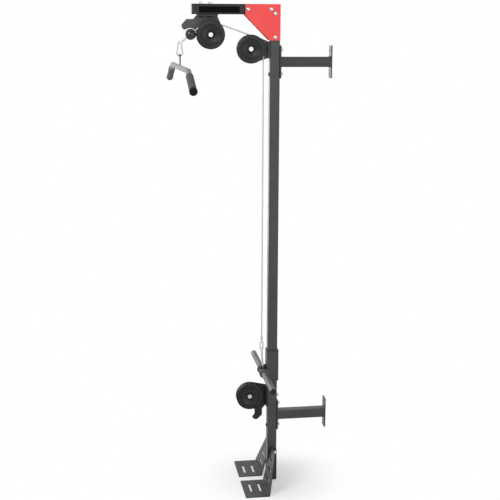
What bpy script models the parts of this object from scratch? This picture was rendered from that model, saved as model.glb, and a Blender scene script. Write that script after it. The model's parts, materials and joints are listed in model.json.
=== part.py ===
"""Wall-mounted cable pulley machine, in metres, +Z up.

The origin is the centre of the post's base. -Y is the user's side, +Y the wall, and X runs
along the weight horns.
"""
import bmesh
import bpy
from math import acos, asin, atan2, cos, hypot, pi, radians, sin, tan
from mathutils import Matrix, Vector

MM = 0.001

# Fits
GAP = 0.3 * MM
SIDES = 20
WHEEL_SIDES = 28
BOLT_SIDES = 12

# Frame
HEIGHT = 2000 * MM
TUBE = 40 * MM
TUBE_WALL = 2 * MM
TUBE_CORNER = 4 * MM
ARM_REACH = 330 * MM
CAP_LIP = 3 * MM
CAP_DEPTH = 22 * MM

# Gussets, measured from the frame's outer top corner
GUSSET_LEG = 140 * MM
GUSSET_EDGE = 42 * MM
GUSSET_THICK = 4 * MM
GUSSET_CORNER = 3 * MM
GUSSET_BOLT_FAR = 128 * MM
GUSSET_BOLT_NEAR = 36 * MM
GUSSET_BOLT_DEPTH = 20 * MM

# Bolts
BOLT_RADIUS = 4 * MM
DOME_RADIUS = 8.7 * MM
DOME_HEIGHT = 5 * MM
NUT_FLATS = 13 * MM
NUT_HEIGHT = 7 * MM
BOLT_SPARE = 3 * MM

# Wall brackets
WALL_FACE = 232 * MM
WALL_PLATE_TALL = 130 * MM
WALL_PLATE_WIDE = 44 * MM
PLATE_THICK = 5 * MM
PLATE_CORNER = 5 * MM
BRACKET_BOLT_PITCH = 98 * MM
VENT_RADIUS = 6 * MM
UPPER_BRACKET_DROP = 224 * MM
LOWER_BRACKET_HEIGHT = 293 * MM

# Pulleys
WHEEL_RADIUS = 56.5 * MM
WHEEL_WIDE = 25 * MM
CABLE_TURN = 50 * MM
CABLE_RADIUS = 3 * MM
HUB_RADIUS = 15.5 * MM
HUB_DEPTH = 5.5 * MM
DISH_RADIUS = 38 * MM
DISH_DEPTH = 4 * MM
RING_STEP = 1.2 * MM
BEARING_RADIUS = 13 * MM
BEARING_WIDE = 8 * MM
AXLE_RADIUS = 5 * MM
AXLE_FLATS = 17 * MM
AXLE_HEAD = 6.4 * MM
AXLE_NUT = 8 * MM
SPACER_RADIUS = 8 * MM
FRONT_PULLEY_SETBACK = 75 * MM
FRONT_PULLEY_DROP = 118.5 * MM
MID_PULLEY_Y = -94.5 * MM
MID_PULLEY_UP = 50 * MM
LOW_PULLEY_Y = -95 * MM
LOW_PULLEY_UP = 85.5 * MM

# Pulley brackets
CHEEK_THICK = 5 * MM
LOBE_RADIUS = 56 * MM
NOSE_NECK = 66 * MM
NOSE_SHOULDER = 93 * MM
NOSE_DROP = 15.5 * MM
NOSE_END = (116 * MM, 24 * MM)
NOSE_CHIN = (105 * MM, 44 * MM)
NOSE_LIP = (92 * MM, 38 * MM)
NOSE_CORNERS = (6 * MM, 4 * MM, 13 * MM, 9 * MM)
NOTCH_CLEARANCE = 3.5 * MM
FRONT_FLANGE = (-54 * MM, 28 * MM)
LOW_FLANGE = (-47 * MM, 42 * MM)
MID_FLANGE = (-36 * MM, 30 * MM)
BRACKET_BOLT_SPACING = 36 * MM
FRONT_BOLT_OFFSET = -38 * MM

# Cable
CABLE_EXIT = radians(38.7)
BALL_RADIUS = 22 * MM
EYE_HALF = 5.5 * MM
EYE_LONG = 16 * MM
EYE_WIRE = 2 * MM
FERRULE_RADIUS = 4.5 * MM
FERRULE_FROM_TIP = 12 * MM
FERRULE_LONG = 14 * MM
EYE_FROM_BALL = 55 * MM
LINK_WIRE = 2.2 * MM
LINK_LONG = 33 * MM
LINK_HALF = 6 * MM

# Carabiners
HOOK_WIRE = 3 * MM
FRONT_HOOK_LONG = 54 * MM
REAR_HOOK_LONG = 81.8 * MM
HOOK_TOP_TURN = 5.6 * MM
HOOK_BOTTOM_TURN = 11 * MM
GATE_WIRE = 2.5 * MM
GATE_NOSE = 0.28
GATE_STUB = 0.15

# Handle
HANDLE_RADIUS = 11.15 * MM
HANDLE_WALL = 2 * MM
HANDLE_SPAN = 740 * MM
HANDLE_ARM_DROP = radians(17.9)
HANDLE_ARM_LONG = 52 * MM
HANDLE_BEND = 40 * MM
HANDLE_BELOW_HOOK = 45 * MM
HANDLE_EYE_EDGE = 5 * MM
HANDLE_EYE_CORNER = 9 * MM
GRIP_RADIUS = 13.8 * MM
GRIP_LONG = 152 * MM
GRIP_CAP = 5 * MM
GRIP_CAP_RADIUS = 14.8 * MM
GRIP_CAP_LONG = 12 * MM
EYE_PLATE_THICK = 5 * MM
EYE_PLATE_WIDE = 26 * MM
EYE_HOLE = 5 * MM
HOOK_PLAY = 0.9 * MM

# Carriage
SLEEVE = 50 * MM
SLEEVE_WALL = 2 * MM
SLEEVE_ABOVE_PULLEY = 75 * MM
SLEEVE_TALL = 125 * MM
LINER_DEPTH = 28 * MM
HORN_BAR_UP = 31.1 * MM
HORN_BAR_RADIUS = 12.5 * MM
HORN_BAR_WALL = 2 * MM
HORN_SPAN = 522 * MM
BAR_PLUG = 15 * MM
COLLAR_RADIUS = 20 * MM
COLLAR_THICK = 5 * MM
COLLAR_AT = 30 * MM
CARRIAGE_EYE_OUT = 13.2 * MM
CARRIAGE_EYE_UP = 21.4 * MM
CARRIAGE_EYE_EDGE = 10 * MM

# Foot brackets
FOOT_OUT = 188 * MM
FOOT_FRONT = 136 * MM
FOOT_BACK = 36 * MM
FOOT_THICK = 4 * MM
CHEEK_TOP = 141 * MM
CHEEK_BOTTOM = 5 * MM
UPRIGHT_LEAN = radians(13.8)
UPRIGHT_TALL = 156 * MM
UPRIGHT_TOP_OUT = 104 * MM
SLOT_TALL = 8.5 * MM
FLOOR_SLOT_X = (58 * MM, 136 * MM)
FLOOR_SLOT_Y = (-105 * MM, -66 * MM)
UPRIGHT_SLOTS = ((48 * MM, 128 * MM, 38 * MM), (48 * MM, 124 * MM, 77 * MM), (54 * MM, 98 * MM, 118 * MM))
UPRIGHT_SHOULDER = 14 * MM
FOOT_CORNER = 6 * MM
FOOT_BOLTS = ((11.5 * MM, 126 * MM), (-8 * MM, 38 * MM))

# Worked-out places
HALF = TUBE / 2
ARM_MIDDLE = HEIGHT - HALF
ARM_UNDER = HEIGHT - TUBE
FRONT_PULLEY = Vector((0, FRONT_PULLEY_SETBACK - ARM_REACH, HEIGHT - FRONT_PULLEY_DROP))
UPPER_BRACKET_Z = HEIGHT - UPPER_BRACKET_DROP
MID_PULLEY = Vector((0, MID_PULLEY_Y, UPPER_BRACKET_Z + MID_PULLEY_UP))
LOW_PULLEY = Vector((0, LOW_PULLEY_Y, LOWER_BRACKET_HEIGHT + LOW_PULLEY_UP))
POST_BASE = CAP_LIP + GAP
CHEEK_X = -HALF + CHEEK_THICK / 2
CABLE_Y = MID_PULLEY_Y + CABLE_TURN
SLEEVE_BOTTOM = LOW_PULLEY.z + SLEEVE_ABOVE_PULLEY
HORN_BAR_Z = SLEEVE_BOTTOM + HORN_BAR_UP
CARRIAGE_EYE_Y = -SLEEVE / 2 - GAP - CARRIAGE_EYE_OUT
CARRIAGE_EYE_Z = HORN_BAR_Z + CARRIAGE_EYE_UP

# Local plane to world: the outline's x and y, then its thickness
FLAT_Z = Matrix.Identity(4)
FACE_X = Matrix(((0, 0, 1, 0), (1, 0, 0, 0), (0, 1, 0, 0), (0, 0, 0, 1)))
FACE_Y = Matrix(((1, 0, 0, 0), (0, 0, -1, 0), (0, 1, 0, 0), (0, 0, 0, 1)))
FACE_Y_UP = Matrix(((-1, 0, 0, 0), (0, 0, 1, 0), (0, 1, 0, 0), (0, 0, 0, 1)))

COLOURS = {
    "frame_paint": ((0.078, 0.080, 0.084), 0.45, 0.2),
    "red_paint": ((0.90, 0.085, 0.085), 0.35, 0.0),
    "black_plastic": ((0.018, 0.018, 0.019), 0.45, 0.0),
    "zinc": ((0.62, 0.62, 0.62), 0.3, 1.0),
    "cable_cover": ((0.60, 0.60, 0.60), 0.35, 0.0),
    "chrome": ((0.62, 0.62, 0.63), 0.15, 1.0),
    "silver_paint": ((0.40, 0.40, 0.40), 0.35, 0.5),
    "dark_grey_paint": ((0.11, 0.11, 0.11), 0.3, 0.2),
    "black_paint": ((0.016, 0.016, 0.017), 0.35, 0.0),
    "rubber": ((0.075, 0.075, 0.078), 0.8, 0.0),
}


def start_scene():
    """Empty the scene and make one collection for the parts and one for the cutters."""
    for old in list(bpy.data.objects):
        bpy.data.objects.remove(old)
    made = []
    for name in ("cable_pulley_machine", "cutters"):
        group = bpy.data.collections.new(name)
        bpy.context.scene.collection.children.link(group)
        made.append(group)
    return made


PARTS, CUTTERS = start_scene()


def material(slot, name):
    """Principled material of one finish, named for the part that wears it."""
    colour, roughness, metallic = COLOURS[slot]
    made = bpy.data.materials.new(name + "_" + slot)
    made.use_nodes = True
    shader = made.node_tree.nodes["Principled BSDF"]
    shader.inputs["Base Color"].default_value = (*colour, 1)
    shader.inputs["Roughness"].default_value = roughness
    shader.inputs["Metallic"].default_value = metallic
    made.diffuse_color = (*colour, 1)
    return made


def place(name, data, matrix, slot=None):
    """Put mesh or curve data in the parts, or in the cutters if it has no finish."""
    made = bpy.data.objects.new(name, data)
    made.matrix_world = matrix
    if slot:
        data.materials.append(material(slot, name))
        PARTS.objects.link(made)
    else:
        CUTTERS.objects.link(made)
        made.hide_render = True
        made.display_type = "WIRE"
    return made


def at(position, turn=FLAT_Z):
    return Matrix.Translation(Vector(position)) @ turn


def rounded(corners, radius, steps=3):
    """Outline with an arc of the given radius at each corner."""
    points = []
    count = len(corners)
    radii = radius if isinstance(radius, (list, tuple)) else [radius] * count
    for index, corner in enumerate(corners):
        here = Vector(corner)
        if radii[index] == 0:
            points.append(tuple(here))
            continue
        back = (Vector(corners[index - 1]) - here).normalized()
        ahead = (Vector(corners[(index + 1) % count]) - here).normalized()
        half = acos(max(-1, min(1, back.dot(ahead)))) / 2
        centre = here + (back + ahead).normalized() * radii[index] / sin(half)
        reach = radii[index] / tan(half)
        first = here + back * reach - centre
        last = here + ahead * reach - centre
        start = atan2(first.y, first.x)
        sweep = (atan2(last.y, last.x) - start + pi) % (2 * pi) - pi
        for step in range(steps + 1):
            angle = start + sweep * step / steps
            points.append((centre.x + radii[index] * cos(angle), centre.y + radii[index] * sin(angle)))
    return points


def rectangle(low, high, radius=0, steps=3):
    corners = [(low[0], low[1]), (high[0], low[1]), (high[0], high[1]), (low[0], high[1])]
    return rounded(corners, radius, steps)


def square(side, radius):
    return rectangle((-side / 2, -side / 2), (side / 2, side / 2), radius, 2)


def circle(radius, centre=(0, 0), sides=SIDES):
    angles = [2 * pi * side / sides for side in range(sides)]
    return [(centre[0] + radius * cos(a), centre[1] + radius * sin(a)) for a in angles]


def arc(centre, radius, start, end, steps):
    angles = [start + (end - start) * step / steps for step in range(steps + 1)]
    return [(centre[0] + radius * cos(a), centre[1] + radius * sin(a)) for a in angles]


def slot_outline(low, high, middle, tall):
    """Round-ended slot from low to high along x."""
    r = tall / 2
    return arc((high - r, middle), r, -pi / 2, pi / 2, 6) + arc((low + r, middle), r, pi / 2, 3 * pi / 2, 6)


def plate(name, outlines, thick, matrix, slot=None):
    """Flat outline with holes, as a filled 2D curve of the given thickness, made a mesh."""
    curve = bpy.data.curves.new(name, "CURVE")
    curve.dimensions = "2D"
    curve.fill_mode = "BOTH"
    curve.extrude = thick / 2
    for outline in outlines:
        spline = curve.splines.new("POLY")
        spline.points.add(len(outline) - 1)
        for point, (x, y) in zip(spline.points, outline):
            point.co = (x, y, 0, 1)
        spline.use_cyclic_u = True
    return as_mesh(name, curve, matrix, slot)


def as_mesh(name, data, matrix, slot):
    """Mesh object of what a curve or a modified object evaluates to, with its caps welded."""
    source = bpy.data.objects.new(name + "_source", data)
    CUTTERS.objects.link(source)
    return bake(source, name, matrix, slot)


def bake(source, name, matrix, slot):
    depsgraph = bpy.context.evaluated_depsgraph_get()
    mesh = bpy.data.meshes.new_from_object(source.evaluated_get(depsgraph))
    mesh.name = name
    shape = bmesh.new()
    shape.from_mesh(mesh)
    bmesh.ops.remove_doubles(shape, verts=shape.verts, dist=0.00001)
    bmesh.ops.recalc_face_normals(shape, faces=shape.faces)
    shape.to_mesh(mesh)
    shape.free()
    mesh.materials.clear()
    bpy.data.objects.remove(source)
    return place(name, mesh, matrix, slot)


def wire(name, route, radius, slot=None, closed=False, resolution=2):
    """Round wire or tube along world points, with filled ends."""
    curve = bpy.data.curves.new(name, "CURVE")
    curve.dimensions = "3D"
    curve.bevel_depth = radius
    curve.bevel_resolution = resolution
    curve.use_fill_caps = True
    spline = curve.splines.new("POLY")
    spline.points.add(len(route) - 1)
    for point, position in zip(spline.points, route):
        point.co = (*position, 1)
    spline.use_cyclic_u = closed
    made = as_mesh(name, curve, FLAT_Z, slot)
    smooth(made)
    return made


def turned(name, profile, matrix, slot=None, ring=False, steps=SIDES):
    """Solid of revolution about local Z: the profile runs down its outer side."""
    mesh = bpy.data.meshes.new(name)
    shape = bmesh.new()
    corners = [shape.verts.new((radius, 0, height)) for radius, height in profile]
    for first, second in zip(corners, corners[1:]):
        shape.edges.new((first, second))
    if ring:
        shape.edges.new((corners[-1], corners[0]))
    shape.to_mesh(mesh)
    shape.free()
    source = bpy.data.objects.new(name + "_source", mesh)
    CUTTERS.objects.link(source)
    screw = source.modifiers.new("turn", "SCREW")
    screw.steps = steps
    screw.render_steps = steps
    screw.use_merge_vertices = True
    screw.merge_threshold = 0.00002
    made = bake(source, name, matrix, slot)
    smooth(made)
    return made


def smooth(made):
    made.data.shade_smooth()
    made.data.set_sharp_from_angle(angle=radians(40))


def prism(name, flats, height, sides=6):
    """Upright prism from local z = 0, by its distance across flats."""
    mesh = bpy.data.meshes.new(name)
    shape = bmesh.new()
    radius = flats / 2 / cos(pi / sides)
    bmesh.ops.create_cone(
        shape, cap_ends=True, segments=sides, radius1=radius, radius2=radius, depth=height,
        matrix=Matrix.Translation((0, 0, height / 2)),
    )
    shape.to_mesh(mesh)
    shape.free()
    return mesh


def boolean(target, tool, operation):
    change = target.modifiers.new(operation.lower(), "BOOLEAN")
    change.operation = operation
    change.object = tool
    change.solver = "EXACT"
    if tool.name in PARTS.objects:
        PARTS.objects.unlink(tool)
        CUTTERS.objects.link(tool)
    tool.hide_render = True
    tool.display_type = "WIRE"


def cut(target, tool):
    boolean(target, tool, "DIFFERENCE")


def join(target, tool):
    boolean(target, tool, "UNION")


def drill(target, turn, places, radius, deep):
    """Round holes through the target, along the third axis of the given turn."""
    for number, position in enumerate(places):
        name = f"{target.name}_hole_{number}"
        profile = [(0, deep / 2), (radius, deep / 2), (radius, -deep / 2), (0, -deep / 2)]
        cut(target, turned(name, profile, at(position, turn), steps=BOLT_SIDES))


def fastener(name, seat, grip):
    """Dome-headed bolt whose head rests on the seat, with its nut run up to the end of the grip."""
    length = grip + GAP + NUT_HEIGHT + BOLT_SPARE
    head = [(DOME_RADIUS * cos(a), DOME_HEIGHT * sin(a)) for a in (pi / 4, 0)]
    profile = [(0, DOME_HEIGHT)] + head + [(BOLT_RADIUS, 0), (BOLT_RADIUS, -length), (0, -length)]
    bolt = turned(name, profile, seat, "zinc", steps=BOLT_SIDES)
    nut_at = seat @ at((0, 0, -grip - GAP - NUT_HEIGHT))
    join(bolt, place(name + "_nut", prism(name + "_nut", NUT_FLATS, NUT_HEIGHT), nut_at))


def fasteners(name, seats):
    for number, (seat, grip) in enumerate(seats, 1):
        fastener(f"{name}_{number}", seat, grip)


def square_tube(name, side, wall, corner, low, high, turn, centre, slot):
    """Square tube along the turn's third axis, from low to high on that axis."""
    outlines = [square(side, corner), square(side - 2 * wall, max(corner - wall, wall / 2))]
    direction = (turn @ Vector((0, 0, 1, 0))).to_3d()
    middle = Vector(centre) + direction * (low + high) / 2
    return plate(name, outlines, high - low, at(middle, turn), slot)


def tube_cap(name, matrix, slot="black_plastic"):
    """Plug for a square tube: the lip closes it and the plug reaches in, up local Z."""
    lip = plate(name, [square(TUBE, TUBE_CORNER)], CAP_LIP, matrix @ at((0, 0, CAP_LIP / 2)), slot)
    bore = TUBE - 2 * TUBE_WALL - 2 * GAP
    plug = plate(name + "_plug", [square(bore, TUBE_CORNER - TUBE_WALL)], CAP_DEPTH,
                 matrix @ at((0, 0, CAP_DEPTH / 2)))
    join(lip, plug)
    return lip


def gusset_bolt_places():
    """Bolt centres on the gusset, alike on the arm and on the post."""
    top, rear = HEIGHT, HALF
    on_arm = [(rear - far, top - GUSSET_BOLT_DEPTH) for far in (GUSSET_BOLT_FAR, GUSSET_BOLT_NEAR)]
    on_post = [(rear - GUSSET_BOLT_DEPTH, top - far) for far in (GUSSET_BOLT_NEAR, GUSSET_BOLT_FAR)]
    return on_arm + on_post


def build_post_and_arm():
    slant = Matrix.Rotation(radians(45), 4, "X")
    post = square_tube("post", TUBE, TUBE_WALL, TUBE_CORNER, POST_BASE, HEIGHT, FLAT_Z, (0, 0, 0),
                       "frame_paint")
    arm = square_tube("top_arm", TUBE, TUBE_WALL, TUBE_CORNER, -ARM_REACH + CAP_LIP + GAP, HALF,
                      FACE_Y_UP, (0, 0, ARM_MIDDLE), "frame_paint")
    block = 3 * TUBE
    for target, side in ((post, 1), (arm, -1)):
        mesh = prism(target.name + "_mitre", block, block, 4)
        mesh.transform(Matrix.Rotation(radians(45), 4, "Z"))
        flip = Matrix.Identity(4) if side == 1 else Matrix.Rotation(pi, 4, "X")
        off = Matrix.Translation((0, 0, -GAP / 2))
        cut(target, place(mesh.name, mesh, at((0, 0, ARM_MIDDLE), slant @ flip @ off)))
    for y, z in gusset_bolt_places():
        target = arm if z - ARM_MIDDLE > y else post
        drill(target, FACE_X, [(0, y, z)], BOLT_RADIUS + GAP, 2 * TUBE)
    drill(post, FACE_Y, [(0, 0, z) for z in post_bolt_heights()], BOLT_RADIUS + GAP, 2 * TUBE)
    drill(post, FACE_X, [(0, y, z) for y, z in FOOT_BOLTS], BOLT_RADIUS + GAP, 2 * TUBE)
    drill(arm, FLAT_Z, [(0, y, ARM_MIDDLE) for y in front_bolt_places()], BOLT_RADIUS + GAP, 2 * TUBE)
    tube_cap("post_foot_cap", FLAT_Z)
    tube_cap("arm_end_cap", at((0, -ARM_REACH, ARM_MIDDLE), FACE_Y_UP))


def front_bolt_places():
    first = FRONT_PULLEY.y + FRONT_BOLT_OFFSET
    return [first, first + BRACKET_BOLT_SPACING]


def wall_bolt_heights(middle):
    return [middle - BRACKET_BOLT_PITCH / 2, middle + BRACKET_BOLT_PITCH / 2]


def low_bolt_height():
    """The low pulley bracket's own bolt, above the one it shares with the wall bracket."""
    return wall_bolt_heights(LOWER_BRACKET_HEIGHT)[1] + BRACKET_BOLT_SPACING


def post_bolt_heights():
    heights = wall_bolt_heights(UPPER_BRACKET_Z) + wall_bolt_heights(LOWER_BRACKET_HEIGHT)
    return heights + [low_bolt_height()]


def build_gussets():
    top, rear = HEIGHT, HALF
    leg, edge = GUSSET_LEG, GUSSET_EDGE
    corners = [(rear - leg, top), (rear, top), (rear, top - leg), (rear - edge, top - leg),
               (rear - leg, top - edge)]
    outline = rounded(corners, GUSSET_CORNER)
    holes = [circle(BOLT_RADIUS + GAP, spot, BOLT_SIDES) for spot in gusset_bolt_places()]
    middle = HALF + GAP + GUSSET_THICK / 2
    for side, name in ((1, "right_gusset"), (-1, "left_gusset")):
        plate(name, [outline] + holes, GUSSET_THICK, at((side * middle, 0, 0), FACE_X), "red_paint")
    seat = HALF + 2 * GAP + GUSSET_THICK
    fasteners("gusset_bolt", [(at((seat, y, z), FACE_X), 2 * seat) for y, z in gusset_bolt_places()])


def build_wall_bracket(name, middle):
    """Square tube with a plate welded on each end."""
    near = HALF + GAP
    plate_at = near + PLATE_THICK / 2
    far_at = WALL_FACE - PLATE_THICK / 2
    body = plate(name, plate_outlines(True), PLATE_THICK, at((0, plate_at, middle), FACE_Y), "frame_paint")
    overlap = PLATE_THICK / 4
    tube = square_tube(name + "_tube", TUBE, TUBE_WALL, TUBE_CORNER, near + PLATE_THICK - overlap,
                       WALL_FACE - PLATE_THICK + overlap, FACE_Y_UP, (0, 0, middle), None)
    join(body, tube)
    join(body, plate(name + "_wall", plate_outlines(False), PLATE_THICK, at((0, far_at, middle), FACE_Y)))


def wall_bolt_seats(middle, shared):
    """Heads on the post's front, or on the flange that shares the bolt, and nuts behind the plate."""
    depth = 2 * HALF + 2 * GAP + PLATE_THICK
    seats = []
    for height in wall_bolt_heights(middle):
        flange = CHEEK_THICK + GAP if height == shared else 0
        seats.append((at((0, -HALF - GAP - flange, height), FACE_Y), depth + flange))
    return seats


def plate_outlines(vented):
    """End plate of a wall bracket; the vent drains the closed tube."""
    low = (-WALL_PLATE_WIDE / 2, -WALL_PLATE_TALL / 2)
    high = (WALL_PLATE_WIDE / 2, WALL_PLATE_TALL / 2)
    holes = [circle(BOLT_RADIUS + GAP, (0, side * BRACKET_BOLT_PITCH / 2), BOLT_SIDES) for side in (-1, 1)]
    if vented:
        holes.append(circle(VENT_RADIUS, sides=BOLT_SIDES))
    return [rectangle(low, high, PLATE_CORNER)] + holes


def tangent_angle(point, radius, side):
    """Angle on a circle round the origin where the line from the point touches it."""
    return atan2(point[1], point[0]) + side * acos(radius / hypot(*point))


def nosed_cheek(flange, reach):
    """Outline along the flange (x) and toward it (y), with the nose that clears the ball."""
    ball = wheel_to_ball()
    notch = BALL_RADIUS + NOTCH_CLEARANCE
    tangent = tangent_angle((flange[1], reach), LOBE_RADIUS, -1)
    across = (ball ** 2 + LOBE_RADIUS ** 2 - notch ** 2) / (2 * ball)
    meet = pi - acos(across / LOBE_RADIUS)
    shoulder = reach - NOSE_DROP
    nose = rounded(
        [(flange[1], reach), (flange[0], reach), (-NOSE_NECK, shoulder), (-NOSE_SHOULDER, shoulder),
         (-NOSE_END[0], shoulder - NOSE_END[1]), (-NOSE_CHIN[0], shoulder - NOSE_CHIN[1])],
        [0, 0, *NOSE_CORNERS])
    start = atan2(shoulder - NOSE_LIP[1], ball - NOSE_LIP[0])
    inner = atan2(LOBE_RADIUS * sin(meet), LOBE_RADIUS * cos(meet) + ball)
    bay = arc((-ball, 0), notch, start, inner, 6)
    lobe = arc((0, 0), LOBE_RADIUS, meet, 2 * pi + tangent, 26)
    return nose + bay + lobe[1:]


def plain_cheek(flange, reach):
    """Lobe round the wheel with straight edges to the flange."""
    low = tangent_angle((flange[0], reach), LOBE_RADIUS, 1)
    high = tangent_angle((flange[1], reach), LOBE_RADIUS, -1)
    lobe = arc((0, 0), LOBE_RADIUS, low, 2 * pi + high, 26)
    return [(flange[1], reach), (flange[0], reach)] + lobe


def build_pulley_bracket(name, outline, flange, reach, pulley, on_post, holes, slot="frame_paint"):
    """Cheek plate behind the wheel with a flange at its edge, bolted to the arm or the post."""
    if on_post:
        outline = [(y, x) for x, y in outline]
    cheek = plate(name, [outline, circle(AXLE_RADIUS + GAP, sides=BOLT_SIDES)], CHEEK_THICK,
                  at((CHEEK_X, *pulley.yz), FACE_X), slot)
    middle = (flange[0] + flange[1]) / 2
    long = flange[1] - flange[0]
    inward = reach - CHEEK_THICK / 2
    hole_list = [circle(BOLT_RADIUS + GAP, (0, spot - middle), BOLT_SIDES) for spot in holes]
    strip = rectangle((-HALF, -long / 2), (HALF, long / 2), (0, 3 * MM, 3 * MM, 0))
    if on_post:
        matrix = at((0, pulley.y + inward, pulley.z + middle), FACE_Y)
    else:
        matrix = at((0, pulley.y + middle, pulley.z + inward), FLAT_Z)
    join(cheek, plate(name + "_flange", [strip] + hole_list, CHEEK_THICK, matrix))
    return cheek


def build_brackets():
    sunk = CHEEK_THICK / 2
    front_reach = ARM_UNDER - GAP - FRONT_PULLEY.z
    front_holes = [y - FRONT_PULLEY.y for y in front_bolt_places()]
    build_pulley_bracket("front_pulley_bracket", nosed_cheek(FRONT_FLANGE, front_reach - sunk), FRONT_FLANGE,
                         front_reach, FRONT_PULLEY, False, front_holes)
    low_reach = -HALF - GAP - LOW_PULLEY.y
    shared_low = wall_bolt_heights(LOWER_BRACKET_HEIGHT)[1]
    low_holes = [shared_low - LOW_PULLEY.z, low_bolt_height() - LOW_PULLEY.z]
    build_pulley_bracket("low_pulley_bracket", nosed_cheek(LOW_FLANGE, low_reach - sunk), LOW_FLANGE,
                         low_reach, LOW_PULLEY, True, low_holes)
    mid_reach = -HALF - GAP - MID_PULLEY.y
    shared_mid = wall_bolt_heights(UPPER_BRACKET_Z)[1]
    build_pulley_bracket("mid_pulley_bracket", plain_cheek(MID_FLANGE, mid_reach - sunk), MID_FLANGE,
                         mid_reach, MID_PULLEY, True, [shared_mid - MID_PULLEY.z])
    down = Matrix.Rotation(pi, 4, "X")
    clamp = TUBE + CHEEK_THICK + 2 * GAP
    below = ARM_UNDER - 2 * GAP - CHEEK_THICK
    ahead = -HALF - 2 * GAP - CHEEK_THICK
    seats = [(at((0, y, below), down), clamp) for y in front_bolt_places()]
    fasteners("pulley_bracket_bolt", seats + [(at((0, ahead, low_bolt_height()), FACE_Y), clamp)])
    build_wall_bracket("upper_wall_bracket", UPPER_BRACKET_Z)
    build_wall_bracket("lower_wall_bracket", LOWER_BRACKET_HEIGHT)
    upper = wall_bolt_seats(UPPER_BRACKET_Z, shared_mid)
    fasteners("wall_bracket_bolt", upper + wall_bolt_seats(LOWER_BRACKET_HEIGHT, shared_low))


def wheel_profile():
    """Half section of the grooved wheel, from the bore over the near face to the groove."""
    half = WHEEL_WIDE / 2
    bore = BEARING_RADIUS + GAP
    groove = CABLE_RADIUS + GAP
    lip = groove + 4.5 * MM
    face = half - RING_STEP
    side = [
        (bore, half - HUB_DEPTH - DISH_DEPTH), (HUB_RADIUS, half - HUB_DEPTH - DISH_DEPTH),
        (HUB_RADIUS, half - DISH_DEPTH), (DISH_RADIUS - RING_STEP, face), (DISH_RADIUS, half),
        (WHEEL_RADIUS - RING_STEP, half), (WHEEL_RADIUS, face), (WHEEL_RADIUS, lip),
        (CABLE_TURN, groove),
    ]
    bottom = [(CABLE_TURN - groove * sin(a), groove * cos(a)) for a in (pi / 4, pi / 2)]
    upper = side + bottom
    return upper + [(radius, -height) for radius, height in reversed(upper[:-1])]


def build_pulley(name, centre):
    """Wheel on its ball bearing, with the axle bolt, spacer and nut that hold it to the cheek."""
    turned(name + "_pulley", wheel_profile(), at(centre, FACE_X), "black_plastic", True, WHEEL_SIDES)
    half = BEARING_WIDE / 2
    inner = AXLE_RADIUS + GAP
    ring = [(inner, half), (BEARING_RADIUS, half), (BEARING_RADIUS, -half), (inner, -half)]
    turned(name + "_bearing", ring, at(centre, FACE_X), "zinc", True)
    cheek_near = CHEEK_X + CHEEK_THICK / 2 + GAP
    spacer_top = -half - GAP
    ring = [(inner, spacer_top), (SPACER_RADIUS, spacer_top), (SPACER_RADIUS, cheek_near), (inner, cheek_near)]
    turned(name + "_spacer", ring, at(centre, FACE_X), "zinc", True, BOLT_SIDES)
    head_seat = half + GAP
    cheek_far = CHEEK_X - CHEEK_THICK / 2 - GAP
    end = cheek_far - AXLE_NUT - BOLT_SPARE
    head = place(name + "_axle_bolt", prism(name + "_axle_bolt", AXLE_FLATS, AXLE_HEAD),
                 at(centre + Vector((head_seat, 0, 0)), FACE_X), "zinc")
    reach = head_seat + AXLE_HEAD / 2
    shank = [(0, reach), (AXLE_RADIUS, reach), (AXLE_RADIUS, end), (0, end)]
    join(head, turned(name + "_shank", shank, at(centre, FACE_X), steps=BOLT_SIDES))
    nut_at = at(centre + Vector((cheek_far - AXLE_NUT, 0, 0)), FACE_X)
    join(head, place(name + "_axle_nut", prism(name + "_axle_nut", AXLE_FLATS, AXLE_NUT), nut_at))


def wheel_to_ball():
    """Ball centre's distance from the front wheel's axis, with the ball resting on the rim."""
    return WHEEL_RADIUS + BALL_RADIUS + GAP


def tail_point(past_ball):
    """Point on the cable tail, at a distance past the ball's centre."""
    along = Vector((0, -cos(CABLE_EXIT), -sin(CABLE_EXIT)))
    touch = Vector((0, -sin(CABLE_EXIT), cos(CABLE_EXIT))) * CABLE_TURN
    reach = (wheel_to_ball() ** 2 - CABLE_TURN ** 2) ** 0.5
    return FRONT_PULLEY + touch + along * (reach + past_ball)


def cable_over_route():
    """Up over the middle wheel, straight to the front wheel, round it and down to the ball."""
    run = FRONT_PULLEY - MID_PULLEY
    lift = atan2(-run.y, run.z)
    leave = pi / 2 + CABLE_EXIT
    route = [Vector((0, CABLE_Y, MID_PULLEY.z))]
    for centre, start, end in ((MID_PULLEY, 0, lift), (FRONT_PULLEY, lift, leave)):
        steps = max(2, round((end - start) / radians(9)))
        points = arc((centre.y, centre.z), CABLE_TURN, start, end, steps)
        route += [Vector((0, y, z)) for y, z in points if (Vector((0, y, z)) - route[-1]).length > GAP]
    route.append(tail_point(-BALL_RADIUS - GAP))
    return route


def oval(half, long):
    """Closed oval route standing on y = 0, long overall and as wide as twice the half."""
    return arc((0, long - half), half, 0, pi, 6) + arc((0, half), half, pi, 2 * pi, 6)


def build_eye(name, tip, matrix):
    """Cable's end loop with its tip wire at the origin, closed by a pressed ferrule up local Z."""
    frame = at(tip, matrix)
    top = FERRULE_FROM_TIP + FERRULE_LONG
    profile = [(0, top), (FERRULE_RADIUS - MM, top), (FERRULE_RADIUS, top - MM),
               (FERRULE_RADIUS, FERRULE_FROM_TIP), (0, FERRULE_FROM_TIP)]
    body = turned(name, profile, frame, "zinc", steps=BOLT_SIDES)
    loop = [frame @ Vector((x, 0, z)) for x, z in oval(EYE_HALF, EYE_LONG)]
    join(body, wire(name + "_loop", loop, EYE_WIRE, closed=True, resolution=1))
    return top


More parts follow.
